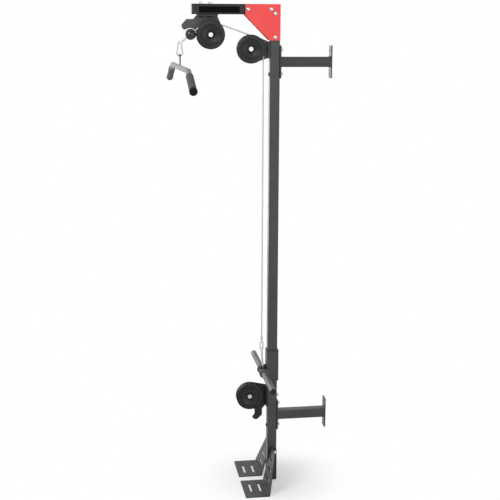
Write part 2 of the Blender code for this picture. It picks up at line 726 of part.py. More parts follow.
def build_cable():
    wire("cable_over", cable_over_route(), CABLE_RADIUS, "cable_cover")
    ball_axis = Matrix.Rotation(CABLE_EXIT - pi / 2, 4, "X")
    bore = CABLE_RADIUS + GAP
    cap = asin(bore / BALL_RADIUS)
    sphere = arc((0, 0), BALL_RADIUS, pi / 2 - cap, -pi / 2 + cap, 10)
    turned("ball_stop", sphere, at(tail_point(0), ball_axis), "black_plastic", True)
    tip = tail_point(EYE_FROM_BALL)
    top = build_eye("front_cable_eye", tip, ball_axis)
    tail = [tail_point(-BALL_RADIUS), tail_point(EYE_FROM_BALL - top - GAP)]
    wire("cable_tail", tail, CABLE_RADIUS, "cable_cover")
    rear_tip = rear_eye_tip()
    build_eye("rear_cable_eye", rear_tip, FLAT_Z)
    drop = [(0, CABLE_Y, MID_PULLEY.z - GAP), (0, CABLE_Y, rear_tip.z + top + GAP)]
    wire("cable_drop", drop, CABLE_RADIUS, "cable_cover")
    return tip


def hung(wire_centre, held, holder):
    """Top wire centre of what hangs on a wire, from the two wires' radii."""
    return wire_centre + Vector((0, 0, held + holder + GAP))


def rear_hook_low():
    """Centre of the rear hook's low wire, in the hole of the carriage's eye plate."""
    return Vector((0, CARRIAGE_EYE_Y, CARRIAGE_EYE_Z + EYE_HOLE - HOOK_WIRE - HOOK_PLAY))


def rear_hook_top():
    low = rear_hook_low()
    lift = (REAR_HOOK_LONG ** 2 - (CABLE_Y - low.y) ** 2) ** 0.5
    return Vector((0, CABLE_Y, low.z + lift))


def rear_link_low():
    """Centre of the link's lower wire, which the rear hook's top wire pulls down on."""
    return rear_hook_top() - Vector((0, 0, HOOK_WIRE + LINK_WIRE + GAP))


def rear_eye_tip():
    return rear_link_low() + Vector((0, 0, LINK_LONG - LINK_WIRE - EYE_WIRE - GAP))


def build_link():
    """Long link on the cable's rear eye, in the YZ plane."""
    route = [rear_link_low() + Vector((0, y, z)) for y, z in oval(LINK_HALF, LINK_LONG)]
    wire("rear_link", route, LINK_WIRE, "chrome", closed=True)


def build_carabiner(name, top, long, tilt, yaw):
    """Pear-shaped snap hook hung by its top wire's centre, in the YZ plane turned by the yaw."""
    turn = Matrix.Translation(top) @ Matrix.Rotation(tilt, 4, "X") @ Matrix.Rotation(yaw, 4, "Z")
    apart = long - HOOK_TOP_TURN - HOOK_BOTTOM_TURN
    slope = asin((HOOK_BOTTOM_TURN - HOOK_TOP_TURN) / apart)
    high = (0, -HOOK_TOP_TURN)
    low = (0, -HOOK_TOP_TURN - apart)
    upper = arc(high, HOOK_TOP_TURN, pi - slope, slope, 8)
    lower = arc(low, HOOK_BOTTOM_TURN, slope, -pi - slope, 14)
    side = Vector(lower[-1]) - Vector(upper[0])
    nose = Vector(upper[0]) + side * GATE_NOSE
    stub = Vector(lower[-1]) - side * GATE_STUB
    body = [tuple(nose)] + upper + lower + [tuple(stub)]
    wire(name, [turn @ Vector((0, y, z)) for y, z in body], HOOK_WIRE, "chrome")
    along = side.normalized()
    gate = [stub - along * 3 * GAP, nose + along * 2 * GAP]
    gate = [turn @ Vector((0, *end)) for end in gate]
    wire(name + "_gate", gate, GATE_WIRE, "chrome")


def bent(points, radius):
    """Route through 3D points with an arc of the given radius at each inner corner."""
    route = [Vector(points[0])]
    for before, here, after in zip(points, points[1:], points[2:]):
        back = (before - here).normalized()
        ahead = (after - here).normalized()
        half = back.angle(ahead) / 2
        centre = here + (back + ahead).normalized() * radius / sin(half)
        first = here + back * radius / tan(half) - centre
        last = here + ahead * radius / tan(half) - centre
        axis = first.cross(last).normalized()
        sweep = first.angle(last)
        for step in range(6):
            route.append(centre + Matrix.Rotation(sweep * step / 5, 3, axis) @ first)
    route.append(Vector(points[-1]))
    return route


def handle_route(middle, spare):
    """Centre line of the bar with its drooping ends, and a spare length past each end."""
    reach = HANDLE_ARM_LONG + GRIP_LONG - GRIP_CAP + spare
    route = []
    for side in (-1, 1):
        corner = middle + Vector((side * HANDLE_SPAN / 2, 0, 0))
        arm = [corner + arm_direction(side) * reach, corner]
        route += arm if side < 0 else arm[::-1]
    return bent(route, HANDLE_BEND)


def arm_direction(side):
    return Vector((side * cos(HANDLE_ARM_DROP), 0, -sin(HANDLE_ARM_DROP)))


def build_handle(hook_low):
    """Wide pull bar with two drooping ends and grips, hung by its welded eye plate."""
    middle = hook_low - Vector((0, 0, HANDLE_BELOW_HOOK))
    bar = wire("handle_bar", handle_route(middle, 0), HANDLE_RADIUS, "silver_paint")
    bore = HANDLE_RADIUS - HANDLE_WALL
    cut(bar, wire("handle_bore", handle_route(middle, MM), bore, resolution=1))
    for side, name in ((1, "right_grip"), (-1, "left_grip")):
        corner = middle + Vector((side * HANDLE_SPAN / 2, 0, 0))
        build_grip(name, corner + arm_direction(side) * HANDLE_ARM_LONG, arm_direction(side))
    half = EYE_PLATE_WIDE / 2
    low = HANDLE_RADIUS / 2 - HANDLE_BELOW_HOOK
    hole_at = HOOK_WIRE + HOOK_PLAY - EYE_HOLE
    round_top = (0, 0, HANDLE_EYE_CORNER, HANDLE_EYE_CORNER)
    outline = rectangle((-half, low), (half, hole_at + EYE_HOLE + HANDLE_EYE_EDGE), round_top)
    tab = plate("handle_eye_plate", [outline, circle(EYE_HOLE, (0, hole_at), BOLT_SIDES)], EYE_PLATE_THICK,
                at(hook_low, FACE_Y), "black_paint")
    saddle = HANDLE_RADIUS + GAP
    profile = [(0, half + MM), (saddle, half + MM), (saddle, -half - MM), (0, -half - MM)]
    cut(tab, turned("handle_saddle", profile, at(middle, FACE_X)))


def build_grip(name, start, along):
    """Rubber sleeve over the bar's end, closed by a wider domed cap."""
    bore = HANDLE_RADIUS + GAP
    end = GRIP_LONG + GRIP_CAP
    depth = GRIP_LONG - GRIP_CAP + GAP
    cap_at = GRIP_LONG - GRIP_CAP_LONG
    profile = [(0, end), (GRIP_CAP_RADIUS * 0.6, end - MM), (GRIP_CAP_RADIUS - MM, GRIP_LONG + MM),
               (GRIP_CAP_RADIUS, GRIP_LONG - MM), (GRIP_CAP_RADIUS, cap_at), (GRIP_RADIUS, cap_at - MM),
               (GRIP_RADIUS, MM), (GRIP_RADIUS - MM, 0), (bore, 0), (bore, depth), (0, depth)]
    turn = Vector((0, 0, 1)).rotation_difference(along).to_matrix().to_4x4()
    turned(name, profile, at(start, turn), "rubber")


def build_carriage():
    """Sleeve on the post with the loading bar across its front."""
    top = SLEEVE_BOTTOM + SLEEVE_TALL
    square_tube("carriage_sleeve", SLEEVE, SLEEVE_WALL, TUBE_CORNER, SLEEVE_BOTTOM, top, FLAT_Z,
                (0, 0, 0), "frame_paint")
    skirt = SLEEVE - 2 * SLEEVE_WALL - 2 * GAP
    bore = square(TUBE + 2 * GAP, TUBE_CORNER)
    for name, edge, way in (("upper_liner", top, 1), ("lower_liner", SLEEVE_BOTTOM, -1)):
        lip_at = edge + way * (GAP + CAP_LIP / 2)
        lip = plate(name, [square(SLEEVE + MM, TUBE_CORNER), bore], CAP_LIP, at((0, 0, lip_at)),
                    "black_plastic")
        inside = LINER_DEPTH + GAP + CAP_LIP
        skirt_at = edge + way * (GAP + CAP_LIP - inside / 2)
        join(lip, plate(name + "_skirt", [square(skirt, TUBE_CORNER - SLEEVE_WALL), bore], inside,
                        at((0, 0, skirt_at))))
    bar_y = -SLEEVE / 2 - GAP - HORN_BAR_RADIUS
    bar = Vector((0, bar_y, HORN_BAR_Z))
    cap_lip = CAP_LIP
    bar_long = HORN_SPAN - 2 * cap_lip - 2 * GAP
    outlines = [circle(HORN_BAR_RADIUS), circle(HORN_BAR_RADIUS - HORN_BAR_WALL)]
    tube = plate("loading_bar", outlines, bar_long, at(bar, FACE_X), "dark_grey_paint")
    smooth(tube)
    inner = HORN_BAR_RADIUS - HORN_BAR_WALL / 2
    half = COLLAR_THICK / 2
    ring = [(inner, half), (COLLAR_RADIUS, half), (COLLAR_RADIUS, -half), (inner, -half)]
    for side in (-1, 1):
        seat = at(bar + Vector((side * COLLAR_AT, 0, 0)), FACE_X)
        join(tube, turned(f"stop_collar_{side}", ring, seat, ring=True))
    plug = HORN_BAR_RADIUS - HORN_BAR_WALL - GAP
    profile = [(0, cap_lip), (HORN_BAR_RADIUS - MM, cap_lip), (HORN_BAR_RADIUS, cap_lip - MM),
               (HORN_BAR_RADIUS, 0), (plug, 0), (plug, -BAR_PLUG), (0, -BAR_PLUG)]
    flip = Matrix.Rotation(pi, 4, "Z")
    end = Vector((bar_long / 2 + GAP, 0, 0))
    turned("right_bar_end_cap", profile, at(bar + end, FACE_X), "black_plastic")
    turned("left_bar_end_cap", profile, at(bar - end, flip @ FACE_X), "black_plastic")
    build_carriage_eye(bar)
    run = rear_hook_low() - rear_hook_top()
    build_carabiner("carriage_carabiner", rear_hook_top(), REAR_HOOK_LONG, atan2(run.y, -run.z), pi / 2)


def build_carriage_eye(bar):
    """Small plate standing on the loading bar against the sleeve, with the hook's hole."""
    rear = -SLEEVE / 2 - GAP
    front = CARRIAGE_EYE_Y - CARRIAGE_EYE_EDGE
    low = bar.z + HORN_BAR_RADIUS / 2
    high = CARRIAGE_EYE_Z + CARRIAGE_EYE_EDGE
    corners = [(rear, low), (rear, high), (front, high), (front, low)]
    outline = rounded(corners, [0, 0, CARRIAGE_EYE_EDGE - MM, 0])
    hole = circle(EYE_HOLE, (CARRIAGE_EYE_Y, CARRIAGE_EYE_Z), BOLT_SIDES)
    tab = plate("carriage_eye_plate", [outline, hole], EYE_PLATE_THICK, at((0, 0, 0), FACE_X),
                "black_paint")
    saddle = HORN_BAR_RADIUS + GAP
    profile = [(0, TUBE), (saddle, TUBE), (saddle, -TUBE), (0, -TUBE)]
    cut(tab, turned("carriage_eye_saddle", profile, at(bar, FACE_X)))


def build_foot(name, side):
    """Floor plate, leaning slotted upright and the cheek that bolts to the post, welded as one."""
    near = HALF + GAP
    inside = near + CHEEK_THICK
    bite = CHEEK_THICK / 2

    def flipped(outline):
        return [(side * x, y) for x, y in outline]

    floor = flipped(rectangle((inside - bite, -FOOT_FRONT), (FOOT_OUT, -FOOT_BACK), (0, FOOT_CORNER, 0, 0)))
    slots = [flipped(slot_outline(*FLOOR_SLOT_X, y, SLOT_TALL)) for y in FLOOR_SLOT_Y]
    body = plate(name, [floor] + slots, FOOT_THICK, at((0, 0, FOOT_THICK / 2)), "frame_paint")
    corners = [(inside - bite, MM), (FOOT_OUT, MM), (FOOT_OUT, UPRIGHT_SHOULDER), (UPRIGHT_TOP_OUT, UPRIGHT_TALL),
               (inside - bite, UPRIGHT_TALL)]
    upright = flipped(rounded(corners, [0, 0, 0, 4 * MM, 0]))
    cuts = [flipped(slot_outline(*slot, SLOT_TALL)) for slot in UPRIGHT_SLOTS]
    lean = at((0, -FOOT_BACK, 0), Matrix.Rotation(-UPRIGHT_LEAN, 4, "X")) @ at((0, -FOOT_THICK / 2, 0), FACE_Y)
    join(body, plate(name + "_upright", [upright] + cuts, FOOT_THICK, lean))
    cheek = rectangle((-HALF, CHEEK_BOTTOM), (HALF, CHEEK_TOP), 3 * MM)
    holes = [circle(BOLT_RADIUS + GAP, spot, BOLT_SIDES) for spot in FOOT_BOLTS]
    cheek_at = at((side * (near + CHEEK_THICK / 2), 0, 0), FACE_X)
    join(body, plate(name + "_cheek", [cheek] + holes, CHEEK_THICK, cheek_at))


def build_feet():
    build_foot("right_foot_bracket", 1)
    build_foot("left_foot_bracket", -1)
    seat = HALF + 2 * GAP + CHEEK_THICK
    fasteners("foot_bolt", [(at((seat, y, z), FACE_X), 2 * seat) for y, z in FOOT_BOLTS])


def build():
    build_post_and_arm()
    build_gussets()
    build_brackets()
    for name, centre in (("front", FRONT_PULLEY), ("mid", MID_PULLEY), ("low", LOW_PULLEY)):
        build_pulley(name, centre)
    hook_top = hung(build_cable(), HOOK_WIRE, EYE_WIRE)
    build_carabiner("front_carabiner", hook_top, FRONT_HOOK_LONG, 0, 0)
    build_handle(hook_top - Vector((0, 0, FRONT_HOOK_LONG)))
    build_link()
    build_carriage()
    build_feet()


build()
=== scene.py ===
import json
from math import atan2, cos, pi, radians, sin

import bpy
from mathutils import Matrix, Vector


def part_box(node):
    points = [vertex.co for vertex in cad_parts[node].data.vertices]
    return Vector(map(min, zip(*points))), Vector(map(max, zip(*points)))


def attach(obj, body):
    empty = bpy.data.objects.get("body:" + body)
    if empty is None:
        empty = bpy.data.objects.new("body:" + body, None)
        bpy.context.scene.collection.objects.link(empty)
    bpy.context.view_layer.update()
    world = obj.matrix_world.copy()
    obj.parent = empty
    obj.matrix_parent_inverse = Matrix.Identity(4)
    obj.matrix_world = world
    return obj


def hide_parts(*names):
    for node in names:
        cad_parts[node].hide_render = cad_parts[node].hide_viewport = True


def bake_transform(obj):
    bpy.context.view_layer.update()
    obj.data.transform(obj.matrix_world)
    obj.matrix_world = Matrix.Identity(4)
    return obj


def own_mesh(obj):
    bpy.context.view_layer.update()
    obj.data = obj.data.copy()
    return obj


# Looks of the wall-mounted pulley machine. Metres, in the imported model's own frame.

MM = 0.001
GAP = 0.3 * MM

# Camera, solved from the photograph
CAMERA_AT = Vector((4.18927, -0.71650, 1.90787))
CAMERA_RIGHT = Vector((0.14601, 0.98928, 0.00353))
CAMERA_UP = Vector((-0.20531, 0.02682, 0.97833))
CAMERA_LENS = 75.54
CAMERA_SENSOR = 36

# Frame, as the part has it
TUBE_HALF = 20 * MM
TUBE_CORNER = 4 * MM
WALL_FACE = 232 * MM
BRACKET_PLATE = 5 * MM
BRACKET_LEVELS = (("upper", 1.776), ("lower", 0.293))
SLEEVE_FACE = -25 * MM
LOADING_BAR_UP = 484.6 * MM
FOOT_BACK = 36 * MM
ARM_DROP = radians(17.9)

# Cable route, as the part has it
FRONT_PULLEY = Vector((0, -0.255, 1.8815))
MID_PULLEY = Vector((0, -0.0945, 1.826))
LOW_PULLEY = Vector((0, -0.095, 0.3785))
WHEEL_RADIUS = 56.5 * MM
CABLE_TURN = 50 * MM
CABLE_RADIUS = 3 * MM
CABLE_Y = MID_PULLEY.y + CABLE_TURN
CABLE_EXIT = radians(38.7)
BALL_RADIUS = 22 * MM
BALL_REACH = ((WHEEL_RADIUS + BALL_RADIUS + GAP) ** 2 - CABLE_TURN ** 2) ** 0.5
TAIL_END = 28.7 * MM
TURN_STEP = radians(3)

# Rope: step along it, length of one twist, strands, points on each, depth of the grooves between
# them as a share of its radius, and distance between the wires of a strand
ROPE_STEP = 2.5 * MM
ROPE_LAY = 42 * MM
STRANDS = 6
STRAND_POINTS = 4
STRAND_DENT = 0.16
WIRE_PITCH = 1.1 * MM

# Wheel's half section, in millimetres from its axis and from its middle plane
WHEEL_HALF = 12.5
HUB_SEAT = ((13.3, 3.0), (15.1, 3.0), (15.5, 3.4), (15.5, 5.4))
HUB_EDGE = 0.6
DISH = ((20, 6.75), (26, 8.05), (32, 9.5), (36.2, 10.75))
FACE_START = 38.2
FACE_EDGE = 0.7
RING_GROOVE = (39.3, 39.7, 40.4, 40.8)
RING_DEPTH = 0.5
FACE_END = 47
FACE_FALL = 0.15
LIP = (55.0, 10.6)
LIP_EDGE = 1.5
FLANGE = (55.8, 8.3)
FLANGE_EDGE = 0.7
GROOVE_DEGREES = (22, 45, 67, 90)
WHEEL_STEPS = 96
WHEEL_SHARP = radians(32)

# Tone of the wheel's nylon by share of its radius, with painted shade in the hub recess, the ring groove
# and the outer edge; its gloss; and the low wheel's share of both, which darkens it as painted shade
WHEEL_TONES_AND_SHADE = ((0.0, 0.001), (0.28, 0.001), (0.31, 0.008), (0.45, 0.009), (0.64, 0.014),
               (0.665, 0.003), (0.725, 0.003), (0.74, 0.009), (0.93, 0.008), (0.955, 0.003),
               (1.0, 0.003))
WHEEL_SPECULAR = 0.27
LOW_WHEEL_SHADE = 0.9

# Grip: length of the black cap at its outer end, and distance between its ribs
GRIP_CAP = 17 * MM
GRIP_RIBS = 3.2 * MM

# Radii between which a bearing's steel race ends and its seal begins
SEAL_EDGE = (6.6 * MM, 7.0 * MM)

# Height of the painted shade band on a folded bracket, past the face that it is bolted to
BRACKET_SHADE_BAND = 5.5 * MM

# Label plate on the arm
LABEL_CENTRE = (-0.222, 1.978)
LABEL_SIZE = (0.160, 0.024)
LABEL_THICK = 0.7 * MM
LABEL_CORNER = 2 * MM
LABEL_EDGE = 0.3 * MM
LABEL_EDGE_START = 0.6

# Welds: radius, step along, length of a ripple, its share of the radius, share left at an open end
BEAD = 2.2 * MM
BEAD_STEP = 1.2 * MM
BEAD_RIPPLE = 4 * MM
BEAD_SWELL = 0.14
BEAD_END = 0.45
BEAD_POINTS = 8
BRACKET_BEAD_OUT = 0.8 * MM
BAR_BEAD_OUT = 1.2 * MM
BAR_BEAD_UP = 6.4 * MM
BAR_BEAD_HALF = 23 * MM
FOOT_BEAD = 1.8 * MM
FOOT_BEAD_IN = 4.4 * MM
FOOT_BEAD_ENDS = (30 * MM, 184 * MM)

# Paint: depth of its orange peel, span that noise mostly covers, and span of a sharp change of tone
PEEL = 0.12 * MM
NOISE_SPAN = (0.3, 0.7)
SHARP = (0.0, 0.5 * MM)

# Floor: distances where its glow begins and ends, and the share of glow at each
FLOOR_FADE = (0.10, 0.38, 0.35, 1.0)
FLOOR_HALF = 30
FLOOR_LEVEL = -0.5 * MM

# Light of the surround on the machine, and as the camera sees it
AMBIENT = 0.55
BACKDROP = 1.0

# Lamps: name, place, size, watts, and the point that all of them face
LAMPS = (("key", (2.2, -3.6, 4.0), 2.5, 110), ("fill", (4.5, 2.0, 1.2), 3.0, 38),
         ("rim", (-3.6, -1.8, 1.6), 3.0, 60), ("front", (4.2, -0.6, 2.9), 1.2, 26))
LAMP_AIM = Vector((0, 0, 1.0))


def grey(tone):
    return (tone, tone, tone)


def shade(name, colour, roughness, metallic=0.0, specular=0.5):
    """Material with one Principled shader, and that shader."""
    made = bpy.data.materials.new(name)
    made.use_nodes = True
    shader = made.node_tree.nodes["Principled BSDF"]
    shader.inputs["Base Color"].default_value = (*colour, 1)
    shader.inputs["Roughness"].default_value = roughness
    shader.inputs["Metallic"].default_value = metallic
    shader.inputs["Specular IOR Level"].default_value = specular
    return made, shader


def add(owner, kind, **values):
    """Node of a material or world, with some of its sockets set."""
    node = owner.node_tree.nodes.new(kind)
    for socket, value in values.items():
        node.inputs[socket.replace("_", " ")].default_value = value
    return node


def link(owner, source, target):
    owner.node_tree.links.new(source, target)


def maths(owner, operation, *values):
    """Output of a Math node. Each value is a number or another node's output."""
    node = add(owner, "ShaderNodeMath")
    node.operation = operation
    for socket, value in zip(node.inputs, values):
        if isinstance(value, (int, float)):
            socket.default_value = value
        else:
            link(owner, value, socket)
    return node.outputs["Value"]


def vector_maths(owner, operation, vector, constant=None, result="Vector"):
    """Output of a Vector Math node on another node's output and a constant."""
    node = add(owner, "ShaderNodeVectorMath")
    node.operation = operation
    link(owner, vector, node.inputs[0])
    if constant is not None:
        node.inputs[1].default_value = constant
    return node.outputs[result]


def place_on(owner):
    """Place on the piece in its own coordinates, in metres."""
    return add(owner, "ShaderNodeTexCoord").outputs["Object"]


def noise(material, scale, detail=3.0, stretch=(1, 1, 1)):
    """Noise over the piece's own coordinates, in metres."""
    mapping = add(material, "ShaderNodeMapping", Scale=stretch)
    texture = add(material, "ShaderNodeTexNoise", Scale=scale, Detail=detail)
    link(material, place_on(material), mapping.inputs["Vector"])
    link(material, mapping.outputs["Vector"], texture.inputs["Vector"])
    return texture.outputs["Fac"]


def vary(material, shader, fac, low, high, span=NOISE_SPAN):
    """Base colour between two tones by a factor."""
    ramp = add(material, "ShaderNodeValToRGB")
    for end, place, tone in zip(ramp.color_ramp.elements, span, (low, high)):
        end.position = place
        end.color = (*tone, 1)
    link(material, fac, ramp.inputs["Fac"])
    link(material, ramp.outputs["Color"], shader.inputs["Base Color"])


def dull(material, shader, fac, low, high):
    """Roughness between two values by a factor."""
    spread = add(material, "ShaderNodeMapRange", From_Min=NOISE_SPAN[0], From_Max=NOISE_SPAN[1],
                 To_Min=low, To_Max=high)
    link(material, fac, spread.inputs["Value"])
    link(material, spread.outputs["Result"], shader.inputs["Roughness"])


def bump(material, shader, height, distance, strength=0.5):
    """Relief of a given depth; a second call adds to the first."""
    node = add(material, "ShaderNodeBump", Strength=strength, Distance=distance)
    link(material, height, node.inputs["Height"])
    normal = shader.inputs["Normal"]
    if normal.is_linked:
        link(material, normal.links[0].from_socket, node.inputs["Normal"])
    link(material, node.outputs["Normal"], normal)


def along(material, origin, direction):
    """Distance from a point along a direction, in metres."""
    shift = vector_maths(material, "SUBTRACT", place_on(material), origin)
    return vector_maths(material, "DOT_PRODUCT", shift, direction, "Value")


def from_axis(material, origin):
    """Distance from an axis along X, in metres."""
    shift = vector_maths(material, "SUBTRACT", place_on(material), origin)
    flat = vector_maths(material, "MULTIPLY", shift, (0, 1, 1))
    return vector_maths(material, "LENGTH", flat, result="Value")


def waves(material, value, pitch):
    """Ridges of a given pitch along a value in metres, from -1 to 1."""
    return maths(material, "SINE", maths(material, "MULTIPLY", value, 2 * pi / pitch))


def powder_skin(material, shader, roughness, grain=PEEL):
    """Fine orange peel and slight changes of gloss."""
    dull(material, shader, noise(material, 40), roughness - 0.05, roughness + 0.07)
    bump(material, shader, noise(material, 900), grain)


def powder_coat(name, low, high, roughness, grain=PEEL, specular=0.5):
    """Baked powder paint, with slight changes of tone."""
    made, shader = shade(name, high, roughness, specular=specular)
    vary(made, shader, noise(made, 9), low, high)
    powder_skin(made, shader, roughness, grain)
    return made


def light_and_shade_coat(name, origin, direction, near, far, roughness=0.40):
    """Powder coat that is one tone before a place along a direction and another past it: on the brackets,
    painted light before and painted shade past.
    """
    made, shader = shade(name, grey(near), roughness, specular=0.25)
    vary(made, shader, along(made, origin, direction), grey(near), grey(far), SHARP)
    powder_skin(made, shader, roughness)
    return made


def moulded_with_painted_shade(name, centre, level):
    """Moulded nylon wheel: turned rings, and painted shade darker in the hub recess, in the ring groove
    and at the outer edge.
    """
    made, shader = shade(name, grey(0.03), 0.36, specular=WHEEL_SPECULAR * level ** 0.5)
    reach = from_axis(made, centre)
    ramp = add(made, "ShaderNodeValToRGB")
    stops = ramp.color_ramp.elements
    for place, _ in WHEEL_TONES_AND_SHADE[1:-1]:
        stops.new(place)
    for stop, (place, tone) in zip(stops, WHEEL_TONES_AND_SHADE):
        stop.position = place
        stop.color = (*grey(tone * level), 1)
    link(made, maths(made, "DIVIDE", reach, WHEEL_RADIUS), ramp.inputs["Fac"])
    link(made, ramp.outputs["Color"], shader.inputs["Base Color"])
    dull(made, shader, noise(made, 90), 0.26, 0.36)
    bump(made, shader, waves(made, reach, 1.6 * MM), 0.03 * MM)
    bump(made, shader, noise(made, 1500), 0.04 * MM, 0.4)
    return made


def plastic(name, tone=0.016, roughness=0.45, specular=0.5):
    """Moulded plastic with a fine grain."""
    made, shader = shade(name, grey(tone), roughness, specular=specular)
    vary(made, shader, noise(made, 80), grey(tone * 0.8), grey(tone * 1.25))
    dull(made, shader, noise(made, 120), roughness - 0.06, roughness + 0.06)
    bump(made, shader, noise(made, 1400), 0.05 * MM, 0.4)
    return made


def plated(name, tone, roughness):
    """Bright plating with a slightly clouded, brushed skin."""
    made, shader = shade(name, grey(tone), roughness, metallic=1.0)
    vary(made, shader, noise(made, 70), grey(tone * 0.86), grey(tone * 1.06))
    dull(made, shader, noise(made, 160), roughness - 0.05, roughness + 0.08)
    bump(made, shader, noise(made, 700, stretch=(1, 1, 6)), 0.02 * MM)
    return made


def rope_steel_groove_shade(name):
    """Zinc-coated steel strands: bright tops, and painted shade in the grooves between the strands."""
    made, shader = shade(name, grey(0.5), 0.38, metallic=0.35)
    uv = add(made, "ShaderNodeUVMap")
    uv.uv_map = "UVMap"
    parts = add(made, "ShaderNodeSeparateXYZ")
    link(made, uv.outputs["UV"], parts.inputs["Vector"])
    # Painted shade: the grooves between the strands are darker
    vary(made, shader, parts.outputs["X"], (0.70, 0.70, 0.69), grey(0.22), (0.35, 1.0))
    bump(made, shader, waves(made, parts.outputs["Y"], WIRE_PITCH), 0.08 * MM)
    return made


def grip_rubber(name, origin, direction):
    """Grey foam rubber with fine ribs, black on the cap at its outer end."""
    made, shader = shade(name, grey(0.07), 0.75, specular=0.15)
    place = along(made, origin, direction)
    vary(made, shader, place, (0.085, 0.085, 0.087), grey(0.006), SHARP)
    bump(made, shader, waves(made, place, GRIP_RIBS), 0.3 * MM, 0.7)
    bump(made, shader, noise(made, 1100), 0.12 * MM, 0.6)
    return made


def sealed_bearing(name, centre):
    """Black rubber seal between the bearing's narrow steel races."""
    made, shader = shade(name, grey(0.03), 0.4, specular=0.15)
    reach = from_axis(made, centre)
    vary(made, shader, reach, grey(0.30), grey(0.004), SEAL_EDGE)
    bump(made, shader, waves(made, reach, 2.4 * MM), 0.1 * MM, 0.6)
    return made


def dark_headed(name, origin, direction, dark, bright):
    """Zinc-plated bolt, near black before a place along a direction; on heads under the arm this is
    painted shade.
    """
    made, shader = shade(name, grey(bright), 0.36, metallic=0.8)
    vary(made, shader, along(made, origin, direction), grey(dark), grey(bright), SHARP)
    bump(made, shader, noise(made, 700), 0.02 * MM)
    return made


def wear(node, material):
    """Give a CAD node a better material."""
    for holder in frame["nodes"][node].material_slots:
        holder.material = material


def mesh_piece(name, points, faces, material, smooth=True):
    """New object in the scene from points and faces."""
    mesh = bpy.data.meshes.new(name)
    mesh.from_pydata(points, [], faces)
    mesh.materials.append(material)
    for face in mesh.polygons:
        face.use_smooth = smooth
    mesh.update()
    made = bpy.data.objects.new(name, mesh)
    bpy.context.scene.collection.objects.link(made)
    return made


def skin(rings, around, closed=False):
    """Faces over rings of points, with a face over each end unless the rings close on themselves."""
    faces = []
    for i in range(rings if closed else rings - 1):
        here = i * around
        there = (i + 1) % rings * around
        for k in range(around):
            j = (k + 1) % around
            faces.append((here + k, here + j, there + j, there + k))
    if not closed:
        last = (rings - 1) * around
        faces.append(tuple(reversed(range(around))))
        faces.append(tuple(last + k for k in range(around)))
    return faces


def directions(route, closed):
    """Unit direction of a route at each of its points."""
    found = []
    for i, point in enumerate(route):
        before = route[i - 1] if closed or i else point
        after = route[(i + 1) % len(route)] if closed or i + 1 < len(route) else point
        found.append((after - before).normalized())
    return found


def even(route, step, closed=False):
    """The route again with points an even step apart, and that step as it came out."""
    corners = route + route[:1] if closed else route
    spans = [(b - a).length for a, b in zip(corners, corners[1:])]
    count = max(2, round(sum(spans) / step))
    points = []
    done = 0
    at = 0
    for i in range(count + (0 if closed else 1)):
        want = sum(spans) * i / count
        while at + 1 < len(spans) and done + spans[at] < want:
            done += spans[at]
            at += 1
        share = min(1, (want - done) / spans[at])
        points.append(corners[at].lerp(corners[at + 1], share))
    return points, sum(spans) / count


def rope(name, route, node):
    """Six-strand steel rope along a route in the plane x = 0, in place of a CAD cable."""
    points, step = even(route, ROPE_STEP)
    around = STRANDS * STRAND_POINTS
    side = Vector((1, 0, 0))
    places = []
    marks = []
    for i, (point, ahead) in enumerate(zip(points, directions(points, False))):
        up = ahead.cross(side)
        turn = 2 * pi * i * step / ROPE_LAY
        for k in range(around):
            dent = abs(((k % STRAND_POINTS) / STRAND_POINTS) * 2 - 1)
            angle = 2 * pi * k / around + turn
            reach = CABLE_RADIUS * (1 - STRAND_DENT * dent ** 2)
            places.append(point + (side * cos(angle) + up * sin(angle)) * reach)
            marks.append((dent, i * step))
    made = mesh_piece(name, places, skin(len(points), around), ROPE_WITH_GROOVE_SHADE)
    layer = made.data.uv_layers.new(name="UVMap")
    for loop in made.data.loops:
        layer.data[loop.index].uv = marks[loop.vertex_index]
    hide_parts(node)
    return made


def turn_points(centre, start, end):
    """Points round a wheel from one angle to another, in the plane x = 0."""
    count = max(2, round(abs(end - start) / TURN_STEP))
    angles = [start + (end - start) * i / count for i in range(count + 1)]
    return [centre + Vector((0, cos(a), sin(a))) * CABLE_TURN for a in angles]


def tail_point(past_ball):
    """Point on the cable at a distance past the centre of the ball stop."""
    ahead = Vector((0, -cos(CABLE_EXIT), -sin(CABLE_EXIT)))
    touch = Vector((0, -sin(CABLE_EXIT), cos(CABLE_EXIT))) * CABLE_TURN
    return FRONT_PULLEY + touch + ahead * (BALL_REACH + past_ball)


def build_ropes():
    """The cable in three lengths: over the wheels and out to the ball, its tail, and the drop.
    """
    run = FRONT_PULLEY - MID_PULLEY
    lift = atan2(-run.y, run.z)
    over = turn_points(MID_PULLEY, 0, lift)
    over += turn_points(FRONT_PULLEY, lift, pi / 2 + CABLE_EXIT)
    by_ball = tail_point(-BALL_RADIUS - GAP)
    run_out = rope("rope_over", over + [by_ball], "cable_over")
    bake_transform(run_out)
    tail = rope("rope_tail", [tail_point(-BALL_RADIUS), tail_point(TAIL_END)], "cable_tail")
    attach(tail, "cable_end")
    low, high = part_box("cable_drop")
    top = Vector((0, CABLE_Y, high.z))
    drop = rope("rope_drop", [top, Vector((0, CABLE_Y, low.z))], "cable_drop")
    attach(drop, "frame")
    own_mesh(drop)


def arc(centre, radius, start, end, count):
    """Points of a circular arc, in degrees, as radius and height pairs."""
    angles = [radians(start + (end - start) * i / count) for i in range(count + 1)]
    return [(centre[0] + radius * cos(a), centre[1] + radius * sin(a)) for a in angles]


